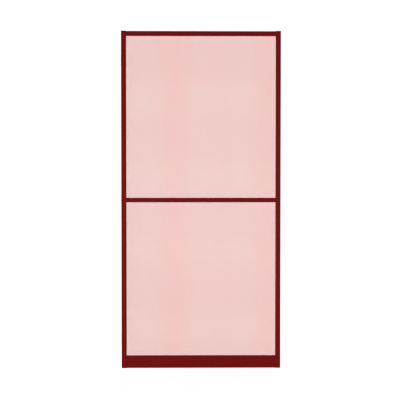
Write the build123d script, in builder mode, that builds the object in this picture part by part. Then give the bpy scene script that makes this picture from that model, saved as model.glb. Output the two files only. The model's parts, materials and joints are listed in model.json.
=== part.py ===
"""Hinged screen door: an aluminium leaf with two mesh panes, hung on three butt hinges.

The leaf is seen from its front along +Y, with +X to the right and +Z up. The wall is the plane y = 0 and
the leaf stands in front of it. The origin is on the wall side of the lowest hinge's wall plate, midway
between its two screw holes. All sizes are in millimetres.
"""
import os

from build123d import *

# Leaf: face sizes of the frame, without the moulded end caps
LEAF_WIDTH = 1000.0
LEAF_HEIGHT = 2115.0
FRAME_DEPTH = 20.0
STILE_FACE = 31.0
TOP_RAIL_FACE = 29.0
MIDDLE_RAIL_FACE = 28.5
BOTTOM_RAIL_FACE = 77.5
MIDDLE_RAIL_HEIGHT = 1059.0  # from the leaf's lower end to the middle rail's centre

# Extrusion: walls, and the groove at the back that takes mesh and spline
FRONT_WALL = 1.6
SIDE_WALL = 1.4
LIP_THICKNESS = 1.4
LIP_HEIGHT = 8.0  # from the front face back to the mesh
GROOVE_WIDTH = 5.4
EDGE_RADIUS = 0.8
KICK_WEB = 1.4

# Screw ports inside the rails, and the holes in the stiles that line up with them
PORT_RADIUS = 4.0
PORT_BORE_RADIUS = 1.9
PORT_WEB = 2.4
PORT_DEPTH = 13.5  # from the front face back to the port's axis
SCREW_HOLE_RADIUS = 2.2
KICK_PORT_INSET = 16.0

# Mesh and spline
MESH_THICKNESS = 0.4
MESH_PITCH = 1.5  # from thread to thread of the weave
MESH_CELL = 120.0  # from opening to opening of the coarse grid that stands for the weave
SKIRT_DEPTH = 5.2  # how far the mesh is tucked down into the groove
SKIRT_END_GAP = 0.2
SPLINE_RADIUS = 2.4
SPLINE_SEAT = 0.1
SPLINE_END_GAP = 0.3

# Moulded end caps of the stiles
TOP_CAP_FLANGE = 2.0
BOTTOM_CAP_FLANGE = 1.0
CAP_EDGE = 0.4
CAP_PLUG_LENGTH = 6.0
CAP_PLUG_WALL = 1.6
CAP_FIT = 0.15

# Brush strips on the back of the leaf
BRUSH_BASE_WIDTH = 4.8
BRUSH_BASE_HEIGHT = 1.0
PILE_ROOT_WIDTH = 2.6
PILE_TIP_WIDTH = 2.0
PILE_WALL_GAP = 0.8  # from the pile's tips to the wall
RAIL_BRUSH_INSET = 10.0  # from the leaf's end to the centre of a rail's brush
BRUSH_END_GAP = 0.3

# Hinges
HINGE_LENGTH = 75.0
HINGE_PLATE = 2.0
HINGE_WIDTH = 13.6  # from the pin's axis to the free edge of a plate
HINGE_CORNER = 2.0
KNUCKLE_RADIUS = 4.5
KNUCKLE_COUNT = 3
KNUCKLE_GAP = 0.6
KNUCKLE_NOTCH = 0.7  # room round the other plate's knuckles
KNUCKLE_ROOT = 3.0  # thickness of the leaf plate where it joins its knuckles
KNUCKLE_ROOT_EDGE = 0.8
LEAF_STAND_OFF = 1.0  # from the wall plate's knuckles to the leaf
PIN_RADIUS = 2.5
PIN_SEAT = 0.03
PIN_RUNNING = 0.1
PIN_PROUD = 1.2  # from the hinge's ends to the pin's ends
WALL_HOLE_RADIUS = 2.2
WALL_SINK_RADIUS = 3.5
WALL_HOLE_SPACING = 36.0
RIVET_HOLE_RADIUS = 2.05
RIVET_HOLE_SPACING = 56.0
HINGE_HOLE_INSET = 9.4  # from the pin's axis to the screw and rivet holes
HINGE_END_INSET = 180.0  # from the leaf's ends to the outer hinges' centres

# Main planes
PIN_X = -HINGE_HOLE_INSET
PIN_Y = -KNUCKLE_RADIUS
BACK_Y = PIN_Y - KNUCKLE_RADIUS - LEAF_STAND_OFF
FRONT_Y = BACK_Y - FRAME_DEPTH
LEFT_X = PIN_X
RIGHT_X = LEFT_X + LEAF_WIDTH
BOTTOM_Z = -HINGE_END_INSET
TOP_Z = BOTTOM_Z + LEAF_HEIGHT
MIDDLE_Z = BOTTOM_Z + MIDDLE_RAIL_HEIGHT

# Chambers: each profile's width without its groove and lip
GROOVE_AND_LIP = GROOVE_WIDTH + LIP_THICKNESS
STILE_CHAMBER = STILE_FACE - GROOVE_AND_LIP
TOP_CHAMBER = TOP_RAIL_FACE - GROOVE_AND_LIP
BOTTOM_CHAMBER = BOTTOM_RAIL_FACE - GROOVE_AND_LIP
HOLLOW_DEPTH = FRAME_DEPTH - FRONT_WALL - SIDE_WALL

# Panes: the openings between the lips
PANE_LEFT = LEFT_X + STILE_FACE
PANE_RIGHT = RIGHT_X - STILE_FACE
PANES = {
    "upper": (MIDDLE_Z + MIDDLE_RAIL_FACE / 2, TOP_Z - TOP_RAIL_FACE),
    "lower": (BOTTOM_Z + BOTTOM_RAIL_FACE, MIDDLE_Z - MIDDLE_RAIL_FACE / 2),
}
MESH_Y = FRONT_Y + LIP_HEIGHT
SPLINE_INSET = LIP_THICKNESS + MESH_THICKNESS + SPLINE_SEAT + SPLINE_RADIUS
SPLINE_Y = FRONT_Y + FRONT_WALL + MESH_THICKNESS + SPLINE_SEAT + SPLINE_RADIUS

# Screws and hinges along the leaf's height
SCREW_Y = FRONT_Y + PORT_DEPTH
KICK_PORTS = (KICK_PORT_INSET, BOTTOM_CHAMBER - KICK_PORT_INSET)
RAIL_SCREWS = [
    TOP_Z - TOP_CHAMBER / 2,
    MIDDLE_Z,
    BOTTOM_Z + KICK_PORTS[1],
    BOTTOM_Z + KICK_PORTS[0],
]
HINGES = {
    "lower": 0.0,
    "middle": MIDDLE_Z,
    "upper": TOP_Z - HINGE_END_INSET,
}
WALL_HOLES = (-WALL_HOLE_SPACING / 2, WALL_HOLE_SPACING / 2)
RIVET_HOLES = (-RIVET_HOLE_SPACING / 2, RIVET_HOLE_SPACING / 2)
KNUCKLE_LENGTH = (HINGE_LENGTH - (KNUCKLE_COUNT - 1) * KNUCKLE_GAP) / KNUCKLE_COUNT
KNUCKLE_PITCH = KNUCKLE_LENGTH + KNUCKLE_GAP

LOW = (Align.MIN, Align.MIN)
CENTRED_LOW = (Align.CENTER, Align.MIN)
STANDING = (Align.CENTER, Align.CENTER, Align.MIN)

os.makedirs("parts", exist_ok=True)


def finish(piece, name):
    """Label a finished piece and write its file."""
    piece.label = name
    export_step(piece, f"parts/{name}.step")


def corners(section, *points):
    """The corners of a section that lie nearest to the given points."""
    return [section.vertices().sort_by_distance(point)[0] for point in points]


def add_port(centre):
    """Add a screw port and its web to the back wall. The centre is measured across the face."""
    with Locations((centre, PORT_DEPTH)):
        Circle(PORT_RADIUS)
        Rectangle(PORT_WEB, FRAME_DEPTH - PORT_DEPTH, align=CENTRED_LOW)
        Circle(PORT_BORE_RADIUS, mode=Mode.SUBTRACT)


def add_groove(edge, side):
    """Add the floor and lip of a spline groove beside the visible edge of a face."""
    with Locations((edge, 0)):
        Rectangle(GROOVE_AND_LIP, FRONT_WALL, align=(side, Align.MIN))
        Rectangle(LIP_THICKNESS, LIP_HEIGHT, align=(side, Align.MIN))


def outer_section(plane, face, ports=(), webs=()):
    """Profile of a stile or an outer rail: a hollow chamber from 0, then a groove and its lip."""
    chamber = face - GROOVE_AND_LIP
    with BuildSketch(plane) as section:
        Rectangle(chamber, FRAME_DEPTH, align=LOW)
        with Locations((SIDE_WALL, FRONT_WALL)):
            Rectangle(chamber - 2 * SIDE_WALL, HOLLOW_DEPTH, align=LOW, mode=Mode.SUBTRACT)
        add_groove(face, Align.MAX)
        for web in webs:
            with Locations((web, 0)):
                Rectangle(KICK_WEB, FRAME_DEPTH, align=CENTRED_LOW)
        for port in ports:
            add_port(port)
        rounded = corners(section, (0, 0), (face, 0), (0, FRAME_DEPTH), (chamber, FRAME_DEPTH))
        fillet(rounded, EDGE_RADIUS)
    return section.sketch


def middle_section(plane, face):
    """Profile of the middle rail: a groove on each side of a chamber with one screw port."""
    chamber = face - 2 * GROOVE_AND_LIP
    edge = face / 2
    with BuildSketch(plane) as section:
        Rectangle(chamber, FRAME_DEPTH, align=CENTRED_LOW)
        with Locations((0, FRONT_WALL)):
            Rectangle(chamber - 2 * SIDE_WALL, HOLLOW_DEPTH, align=CENTRED_LOW, mode=Mode.SUBTRACT)
        add_groove(edge, Align.MAX)
        add_groove(-edge, Align.MIN)
        add_port(0)
        back = [(-chamber / 2, FRAME_DEPTH), (chamber / 2, FRAME_DEPTH)]
        rounded = corners(section, (-edge, 0), (edge, 0), *back)
        fillet(rounded, EDGE_RADIUS)
    return section.sketch


def make_stile(section, edge_x):
    """Extrude a stile and drill it through, where each screw goes into a rail's port."""
    with BuildPart() as stile:
        extrude(section, amount=LEAF_HEIGHT)
        for height in RAIL_SCREWS:
            with Locations(Plane(origin=(edge_x, SCREW_Y, height), z_dir=(1, 0, 0))):
                Cylinder(SCREW_HOLE_RADIUS, 2 * STILE_FACE, mode=Mode.SUBTRACT)
    return stile.part


def make_rail(section, low_z, high_z):
    """Extrude a rail between the stiles' chambers and cope its front over their grooves."""
    length = LEAF_WIDTH - 2 * STILE_CHAMBER
    with BuildPart() as rail:
        extrude(section, amount=length)
        for end, side in ((LEFT_X + STILE_FACE, Align.MAX), (RIGHT_X - STILE_FACE, Align.MIN)):
            with Locations((end, FRONT_Y, low_z)):
                align = (side, Align.MIN, Align.MIN)
                Box(STILE_FACE, LIP_HEIGHT, high_z - low_z, align=align, mode=Mode.SUBTRACT)
    return rail.part


def make_cap(plane, flange_height, plug_length):
    """Moulded cap: a flange over the stile's end and, the other way, a hollow plug in its chamber."""
    with BuildPart() as cap:
        with BuildSketch(plane) as outline:
            Rectangle(STILE_CHAMBER, FRAME_DEPTH, align=LOW)
            Rectangle(STILE_FACE, LIP_HEIGHT, align=LOW)
            points = [(0, 0), (STILE_FACE, 0), (0, FRAME_DEPTH), (STILE_CHAMBER, FRAME_DEPTH)]
            fillet(corners(outline, *points), EDGE_RADIUS)
        extrude(amount=flange_height)
        ends = cap.faces().filter_by(Axis.Z).sort_by(Axis.Z)
        rim = ends[-1] if plane.z_dir.Z * flange_height > 0 else ends[0]
        chamfer(rim.edges(), CAP_EDGE)
        inset = CAP_FIT + CAP_PLUG_WALL
        width = STILE_CHAMBER - 2 * (SIDE_WALL + CAP_FIT)
        depth = HOLLOW_DEPTH - 2 * CAP_FIT
        with BuildSketch(plane):
            with Locations((SIDE_WALL + CAP_FIT, FRONT_WALL + CAP_FIT)):
                Rectangle(width, depth, align=LOW)
            with Locations((SIDE_WALL + inset, FRONT_WALL + inset)):
                inner = (width - 2 * CAP_PLUG_WALL, depth - 2 * CAP_PLUG_WALL)
                Rectangle(*inner, align=LOW, mode=Mode.SUBTRACT)
        extrude(amount=plug_length)
    return cap.part


def weave_openings(middle, width, height):
    """Even openings over a pane, which leave bars as wide to their pitch as the weave's threads."""
    columns = round(width / MESH_CELL)
    rows = round(height / MESH_CELL)
    pitches = (width / columns, height / rows)
    open_share = 1 - MESH_THICKNESS / MESH_PITCH
    with BuildSketch(Plane(origin=middle, x_dir=(1, 0, 0), z_dir=(0, -1, 0))) as openings:
        with GridLocations(*pitches, columns, rows):
            Rectangle(open_share * pitches[0], open_share * pitches[1])
    return openings.sketch


def make_screen(low_z, high_z):
    """Mesh of one pane: an open sheet over the lips, with its four edges tucked into the grooves."""
    tuck = LIP_THICKNESS + MESH_THICKNESS
    middle = ((PANE_LEFT + PANE_RIGHT) / 2, MESH_Y, (low_z + high_z) / 2)
    width = PANE_RIGHT - PANE_LEFT
    height = high_z - low_z
    with BuildPart() as screen:
        with Locations(middle):
            lying = (Align.CENTER, Align.MIN, Align.CENTER)
            Box(width + 2 * tuck, MESH_THICKNESS, height + 2 * tuck, align=lying)
        openings = weave_openings(middle, width, height)
        extrude(openings, amount=MESH_THICKNESS, both=True, mode=Mode.SUBTRACT)
        hanging = (Align.CENTER, Align.MAX, Align.CENTER)
        for side in (-1, 1):
            across = side * (width / 2 + LIP_THICKNESS + MESH_THICKNESS / 2)
            with Locations((middle[0] + across, MESH_Y, middle[2])):
                Box(MESH_THICKNESS, SKIRT_DEPTH, height + 2 * tuck, align=hanging)
            along = side * (height / 2 + LIP_THICKNESS + MESH_THICKNESS / 2)
            with Locations((middle[0], MESH_Y, middle[2] + along)):
                Box(width - 2 * SKIRT_END_GAP, SKIRT_DEPTH, MESH_THICKNESS, align=hanging)
    return screen.part


def make_spline(start, direction, length):
    """Round rubber cord, straight from its start along a direction."""
    with BuildPart() as spline:
        with BuildSketch(Plane(origin=start, z_dir=direction)):
            Circle(SPLINE_RADIUS)
        extrude(amount=length)
    return spline.part


def make_brush(start, along, length):
    """Pile strip on the back of the leaf: a flat base and a tapered row of pile towards the wall."""
    pile_tip = -PILE_WALL_GAP - BACK_Y
    across = Vector(0, 1, 0).cross(Vector(along))
    with BuildPart() as brush:
        with BuildSketch(Plane(origin=start, x_dir=across, z_dir=along)):
            Rectangle(BRUSH_BASE_WIDTH, BRUSH_BASE_HEIGHT, align=CENTRED_LOW)
            with BuildLine():
                Polyline(
                    (-PILE_ROOT_WIDTH / 2, BRUSH_BASE_HEIGHT),
                    (PILE_ROOT_WIDTH / 2, BRUSH_BASE_HEIGHT),
                    (PILE_TIP_WIDTH / 2, pile_tip),
                    (-PILE_TIP_WIDTH / 2, pile_tip),
                    close=True,
                )
            make_face()
        extrude(amount=length)
    return brush.part


def hinge_profile(base, low_y, root):
    """Outline of a hinge plate and its knuckle, seen along the pin, with a thicker root if asked for."""
    with BuildSketch(Plane.XY.offset(base)) as profile:
        with Locations((PIN_X, PIN_Y)):
            Circle(KNUCKLE_RADIUS)
        with Locations((PIN_X, low_y)):
            Rectangle(HINGE_WIDTH, HINGE_PLATE, align=LOW)
            if root:
                Rectangle(KNUCKLE_RADIUS, KNUCKLE_ROOT, align=LOW)
        if root:
            chamfer(corners(profile, (PIN_X, low_y)), KNUCKLE_ROOT_EDGE)
    return profile.sketch


def cut_for_knuckles(base, taken, bore):
    """Notch a hinge plate round the other plate's knuckles and bore it for the pin."""
    reach = 2 * KNUCKLE_RADIUS
    for knuckle in taken:
        notch_z = base + knuckle * KNUCKLE_PITCH - KNUCKLE_GAP
        with Locations((PIN_X - reach, PIN_Y, notch_z)):
            width = reach + KNUCKLE_RADIUS + KNUCKLE_NOTCH
            height = KNUCKLE_LENGTH + 2 * KNUCKLE_GAP
            align = (Align.MIN, Align.CENTER, Align.MIN)
            Box(width, 2 * reach, height, align=align, mode=Mode.SUBTRACT)
    with Locations((PIN_X, PIN_Y, base)):
        Cylinder(bore, HINGE_LENGTH, align=STANDING, mode=Mode.SUBTRACT)


def make_wall_plate(centre):
    """Wall side of a hinge: flat against the wall, with countersunk screw holes."""
    base = centre - HINGE_LENGTH / 2
    with BuildPart() as plate:
        extrude(hinge_profile(base, -HINGE_PLATE, root=False), amount=HINGE_LENGTH)
        cut_for_knuckles(base, range(1, KNUCKLE_COUNT, 2), PIN_RADIUS + PIN_SEAT)
        fillet(plate.edges().filter_by(Axis.Y).group_by(Axis.X)[-1], HINGE_CORNER)
        for hole in WALL_HOLES:
            with Locations(Plane(origin=(0, -HINGE_PLATE, centre + hole), z_dir=(0, -1, 0))):
                CounterSinkHole(WALL_HOLE_RADIUS, WALL_SINK_RADIUS, counter_sink_angle=90)
    return plate.part


def make_leaf_plate(centre):
    """Leaf side of a hinge: flat against the stile's back, with plain holes for rivets."""
    base = centre - HINGE_LENGTH / 2
    with BuildPart() as plate:
        extrude(hinge_profile(base, BACK_Y, root=True), amount=HINGE_LENGTH)
        cut_for_knuckles(base, range(0, KNUCKLE_COUNT, 2), PIN_RADIUS + PIN_RUNNING)
        fillet(plate.edges().filter_by(Axis.Y).group_by(Axis.X)[-1], HINGE_CORNER)
        for hole in RIVET_HOLES:
            with Locations(Plane(origin=(0, BACK_Y, centre + hole), z_dir=(0, 1, 0))):
                Cylinder(RIVET_HOLE_RADIUS, 4 * HINGE_PLATE, mode=Mode.SUBTRACT)
    return plate.part


def make_pin(centre):
    """Plain round hinge pin, its ends a little proud of the knuckles."""
    with BuildPart() as pin:
        with Locations((PIN_X, PIN_Y, centre)):
            Cylinder(PIN_RADIUS, HINGE_LENGTH + 2 * PIN_PROUD)
    return pin.part


# Planes of the profiles: x across the face from the outer edge, y back from the front face
hinge_stile_plane = Plane(origin=(LEFT_X, FRONT_Y, BOTTOM_Z), x_dir=(1, 0, 0), z_dir=(0, 0, 1))
closing_stile_plane = Plane(origin=(RIGHT_X, FRONT_Y, TOP_Z), x_dir=(-1, 0, 0), z_dir=(0, 0, -1))
rail_start = LEFT_X + STILE_CHAMBER
rail_end = RIGHT_X - STILE_CHAMBER
top_rail_plane = Plane(origin=(rail_start, FRONT_Y, TOP_Z), x_dir=(0, 0, -1), z_dir=(1, 0, 0))
middle_rail_plane = Plane(origin=(rail_start, FRONT_Y, MIDDLE_Z), x_dir=(0, 0, -1), z_dir=(1, 0, 0))
bottom_rail_plane = Plane(origin=(rail_end, FRONT_Y, BOTTOM_Z), x_dir=(0, 0, 1), z_dir=(-1, 0, 0))

# Stiles
finish(make_stile(outer_section(hinge_stile_plane, STILE_FACE), LEFT_X), "hinge_stile")
finish(make_stile(outer_section(closing_stile_plane, STILE_FACE), RIGHT_X), "closing_stile")

# Rails
top_section = outer_section(top_rail_plane, TOP_RAIL_FACE, ports=[TOP_CHAMBER / 2])
finish(make_rail(top_section, TOP_Z - TOP_RAIL_FACE, TOP_Z), "top_rail")
middle_low = MIDDLE_Z - MIDDLE_RAIL_FACE / 2
middle_profile = middle_section(middle_rail_plane, MIDDLE_RAIL_FACE)
finish(make_rail(middle_profile, middle_low, middle_low + MIDDLE_RAIL_FACE), "middle_rail")
kick_section = outer_section(bottom_rail_plane, BOTTOM_RAIL_FACE, KICK_PORTS, [BOTTOM_CHAMBER / 2])
finish(make_rail(kick_section, BOTTOM_Z, BOTTOM_Z + BOTTOM_RAIL_FACE), "bottom_rail")

# Screens and their splines
for pane, (low_z, high_z) in PANES.items():
    finish(make_screen(low_z, high_z), f"{pane}_screen")
    side_start = low_z - GROOVE_AND_LIP + SPLINE_END_GAP
    side_length = high_z - low_z + 2 * (GROOVE_AND_LIP - SPLINE_END_GAP)
    side_places = {"hinge_side": PANE_LEFT - SPLINE_INSET, "closing_side": PANE_RIGHT + SPLINE_INSET}
    for side, place in side_places.items():
        cord = make_spline((place, SPLINE_Y, side_start), (0, 0, 1), side_length)
        finish(cord, f"{pane}_{side}_spline")
    cross_start = PANE_LEFT + SPLINE_END_GAP
    cross_length = PANE_RIGHT - PANE_LEFT - 2 * SPLINE_END_GAP
    for side, place in {"bottom": low_z - SPLINE_INSET, "top": high_z + SPLINE_INSET}.items():
        cord = make_spline((cross_start, SPLINE_Y, place), (1, 0, 0), cross_length)
        finish(cord, f"{pane}_{side}_spline")

# End caps: each plane's x runs across the stile from its outer edge and its y back from the front face,
# so it looks up on the hinge stile and down on the closing stile
for stile, edge_x, inward in (("hinge_stile", LEFT_X, 1), ("closing_stile", RIGHT_X, -1)):
    for end, end_z, outward, flange in (
        ("top", TOP_Z, 1, TOP_CAP_FLANGE),
        ("bottom", BOTTOM_Z, -1, BOTTOM_CAP_FLANGE),
    ):
        cap_plane = Plane(origin=(edge_x, FRONT_Y, end_z), x_dir=(inward, 0, 0), z_dir=(0, 0, inward))
        away = inward * outward
        finish(make_cap(cap_plane, away * flange, -away * CAP_PLUG_LENGTH), f"{stile}_{end}_cap")

# Brush strips
brush_inset = STILE_CHAMBER - EDGE_RADIUS - BRUSH_BASE_WIDTH / 2
upright_length = LEAF_HEIGHT - 2 * BRUSH_END_GAP
for side, place in {"hinge_side": LEFT_X + brush_inset, "closing_side": RIGHT_X - brush_inset}.items():
    strip = make_brush((place, BACK_Y, BOTTOM_Z + BRUSH_END_GAP), (0, 0, 1), upright_length)
    finish(strip, f"{side}_brush")
cross_inset = STILE_CHAMBER - EDGE_RADIUS + BRUSH_END_GAP
for side, height in {"bottom": BOTTOM_Z + RAIL_BRUSH_INSET, "top": TOP_Z - RAIL_BRUSH_INSET}.items():
    strip = make_brush((LEFT_X + cross_inset, BACK_Y, height), (1, 0, 0), LEAF_WIDTH - 2 * cross_inset)
    finish(strip, f"{side}_brush")

# Hinges
for place, centre in HINGES.items():
    finish(make_wall_plate(centre), f"{place}_hinge_wall_plate")
    finish(make_leaf_plate(centre), f"{place}_hinge_leaf_plate")
    finish(make_pin(centre), f"{place}_hinge_pin")
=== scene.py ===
"""Screen door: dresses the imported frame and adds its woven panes, pile strips, screws and rivets.

Everything is in metres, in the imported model's own frame: +X from the hinges to the closing side, +Y from the
leaf's front to the wall and +Z up. Sizes of the added pieces are written in millimetres and turned with MM.
"""

import json
import logging
import math
from collections.abc import Callable, Iterable
from dataclasses import dataclass
from enum import Enum
from typing import Any

import bpy
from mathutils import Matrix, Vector

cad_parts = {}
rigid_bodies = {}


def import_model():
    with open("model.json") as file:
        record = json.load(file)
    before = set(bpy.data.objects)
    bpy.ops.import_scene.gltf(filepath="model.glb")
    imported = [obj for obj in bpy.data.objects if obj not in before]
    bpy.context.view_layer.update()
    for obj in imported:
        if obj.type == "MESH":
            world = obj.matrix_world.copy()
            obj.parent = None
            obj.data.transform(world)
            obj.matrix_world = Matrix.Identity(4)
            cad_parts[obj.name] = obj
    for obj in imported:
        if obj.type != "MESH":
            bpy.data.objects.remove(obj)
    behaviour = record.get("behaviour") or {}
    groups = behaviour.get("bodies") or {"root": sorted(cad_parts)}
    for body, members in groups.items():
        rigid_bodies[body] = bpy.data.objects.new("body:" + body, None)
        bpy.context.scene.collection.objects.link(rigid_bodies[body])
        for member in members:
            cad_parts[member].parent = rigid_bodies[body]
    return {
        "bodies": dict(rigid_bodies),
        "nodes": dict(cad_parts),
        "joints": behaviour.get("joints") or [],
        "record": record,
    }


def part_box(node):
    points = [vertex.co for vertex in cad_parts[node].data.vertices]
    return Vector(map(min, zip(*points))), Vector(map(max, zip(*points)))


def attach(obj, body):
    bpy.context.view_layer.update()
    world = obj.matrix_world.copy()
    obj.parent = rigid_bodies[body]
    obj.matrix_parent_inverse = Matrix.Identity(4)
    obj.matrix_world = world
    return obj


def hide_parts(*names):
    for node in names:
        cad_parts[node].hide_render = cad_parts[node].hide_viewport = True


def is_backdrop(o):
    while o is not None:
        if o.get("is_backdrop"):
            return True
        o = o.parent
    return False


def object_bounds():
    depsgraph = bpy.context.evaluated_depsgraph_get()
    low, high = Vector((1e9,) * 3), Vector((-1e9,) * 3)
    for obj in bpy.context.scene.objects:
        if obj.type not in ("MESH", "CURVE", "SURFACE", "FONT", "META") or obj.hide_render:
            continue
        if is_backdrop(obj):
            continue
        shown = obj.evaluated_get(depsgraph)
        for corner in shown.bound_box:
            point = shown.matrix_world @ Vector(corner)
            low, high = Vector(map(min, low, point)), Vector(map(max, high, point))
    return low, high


MM = 0.001
LEAF = "leaf"
NEAR = 0.01 * MM  # a face that lies this close to a plane is in it
MERGE_WITHIN = 0.002 * MM  # points this close are one point
SMOOTH_ANGLE = math.radians(62)  # faces that meet at less are shaded as one curved surface
HINGE_PLACES = ("lower", "middle", "upper")
log = logging.getLogger("screen_door")


# Shared tools for materials


def linear(shade: str) -> tuple[float, float, float, float]:
    """Turn an sRGB hex colour to the linear colour that a shader takes.

    Args:
        shade: six hex digits, red first.

    Returns:
        Red, green, blue and an alpha of 1.
    """
    parts = [int(shade[place:place + 2], 16) / 255 for place in (0, 2, 4)]
    red, green, blue = (p / 12.92 if p <= 0.04045 else ((p + 0.055) / 1.055) ** 2.4 for p in parts)
    return red, green, blue, 1.0


def add_node(
    tree: bpy.types.NodeTree,
    kind: str,
    settings: dict[str, Any] | None = None,
    inputs: dict[str | int, Any] | None = None,
) -> bpy.types.Node:
    """Add one shader node, with its settings and what goes into it.

    Args:
        tree: the node tree that it joins.
        kind: Blender's name of the node type.
        settings: the node's properties by name.
        inputs: values by socket name or number. An output socket is linked, and anything else is set.

    Returns:
        The new node.
    """
    node = tree.nodes.new(kind)
    for name, value in (settings or {}).items():
        setattr(node, name, value)
    for name, value in (inputs or {}).items():
        if isinstance(value, bpy.types.NodeSocket):
            tree.links.new(value, node.inputs[name])
        else:
            node.inputs[name].default_value = value
    return node


def start_material(
    name: str, **constants: Any
) -> tuple[bpy.types.Material, bpy.types.Node, bpy.types.NodeSocket]:
    """Make a material that holds one Principled shader, with what is the same all over set on its sockets.

    Args:
        name: the material's name.
        constants: socket values, with an underscore for each space in a socket's name.

    Returns:
        The material, its shader node, and the Object coordinates.
    """
    material = bpy.data.materials.new(name)
    material.use_nodes = True
    tree = material.node_tree
    tree.nodes.clear()
    shader = add_node(tree, "ShaderNodeBsdfPrincipled")
    for socket, value in constants.items():
        shader.inputs[socket.replace("_", " ")].default_value = value
    add_node(tree, "ShaderNodeOutputMaterial", inputs={"Surface": shader.outputs[0]})
    place = add_node(tree, "ShaderNodeTexCoord").outputs["Object"]
    return material, shader, place


# Finishes


class Run(Enum):
    """The way that a long piece runs."""

    UPRIGHT = "upright"
    LEVEL = "level"

    @property
    def stretch(self) -> tuple[float, float, float]:
        """Scale that keeps a pattern only along the run."""
        return (0.0, 0.0, 1.0) if self is Run.UPRIGHT else (1.0, 0.0, 0.0)


@dataclass(frozen=True)
class PowderCoat:
    """Polyester powder baked on extruded aluminium."""

    name: str = "powder_coated_aluminium_baked"
    shade: str = "6C0707"
    deep_shade: str = "690606"
    peel_mm: float = 1.8
    cloud_mm: float = 260.0
    grit_mm: float = 0.35
    relief_mm: float = 0.03
    relief_share: float = 0.35
    roughness: tuple[float, float] = (0.40, 0.50)

    def make(self) -> bpy.types.Material:
        """Build the finish: deep red with faint orange peel, which breaks up its satin highlight.

        Returns:
            The material.
        """
        material, shader, place = start_material(self.name, Metallic=0.0, IOR=1.5, Specular_IOR_Level=0.07)
        tree = material.node_tree
        # Slow clouds in the film's thickness, about a forearm's length across
        clouds = add_node(tree, "ShaderNodeTexNoise", inputs={
            "Vector": place, "Scale": 1 / (self.cloud_mm * MM), "Detail": 2.0})
        tint = add_node(tree, "ShaderNodeMix", {"data_type": "RGBA"}, {
            "Factor": clouds.outputs["Fac"], 6: linear(self.shade), 7: linear(self.deep_shade)})
        # Orange peel is 1 to 3 mm across, and the powder's grain a third of a millimetre
        peel = add_node(tree, "ShaderNodeTexNoise", inputs={
            "Vector": place, "Scale": 1 / (self.peel_mm * MM), "Detail": 1.0})
        grit = add_node(tree, "ShaderNodeTexNoise", inputs={
            "Vector": place, "Scale": 1 / (self.grit_mm * MM), "Detail": 2.0})
        gloss = add_node(tree, "ShaderNodeMapRange", inputs={
            "Value": grit.outputs["Fac"], 3: self.roughness[0], 4: self.roughness[1]})
        bump = add_node(tree, "ShaderNodeBump", inputs={
            "Strength": self.relief_share, "Distance": self.relief_mm * MM, "Height": peel.outputs["Fac"]})
        tree.links.new(tint.outputs[2], shader.inputs["Base Color"])
        tree.links.new(gloss.outputs["Result"], shader.inputs["Roughness"])
        tree.links.new(bump.outputs["Normal"], shader.inputs["Normal"])
        return material


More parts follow.
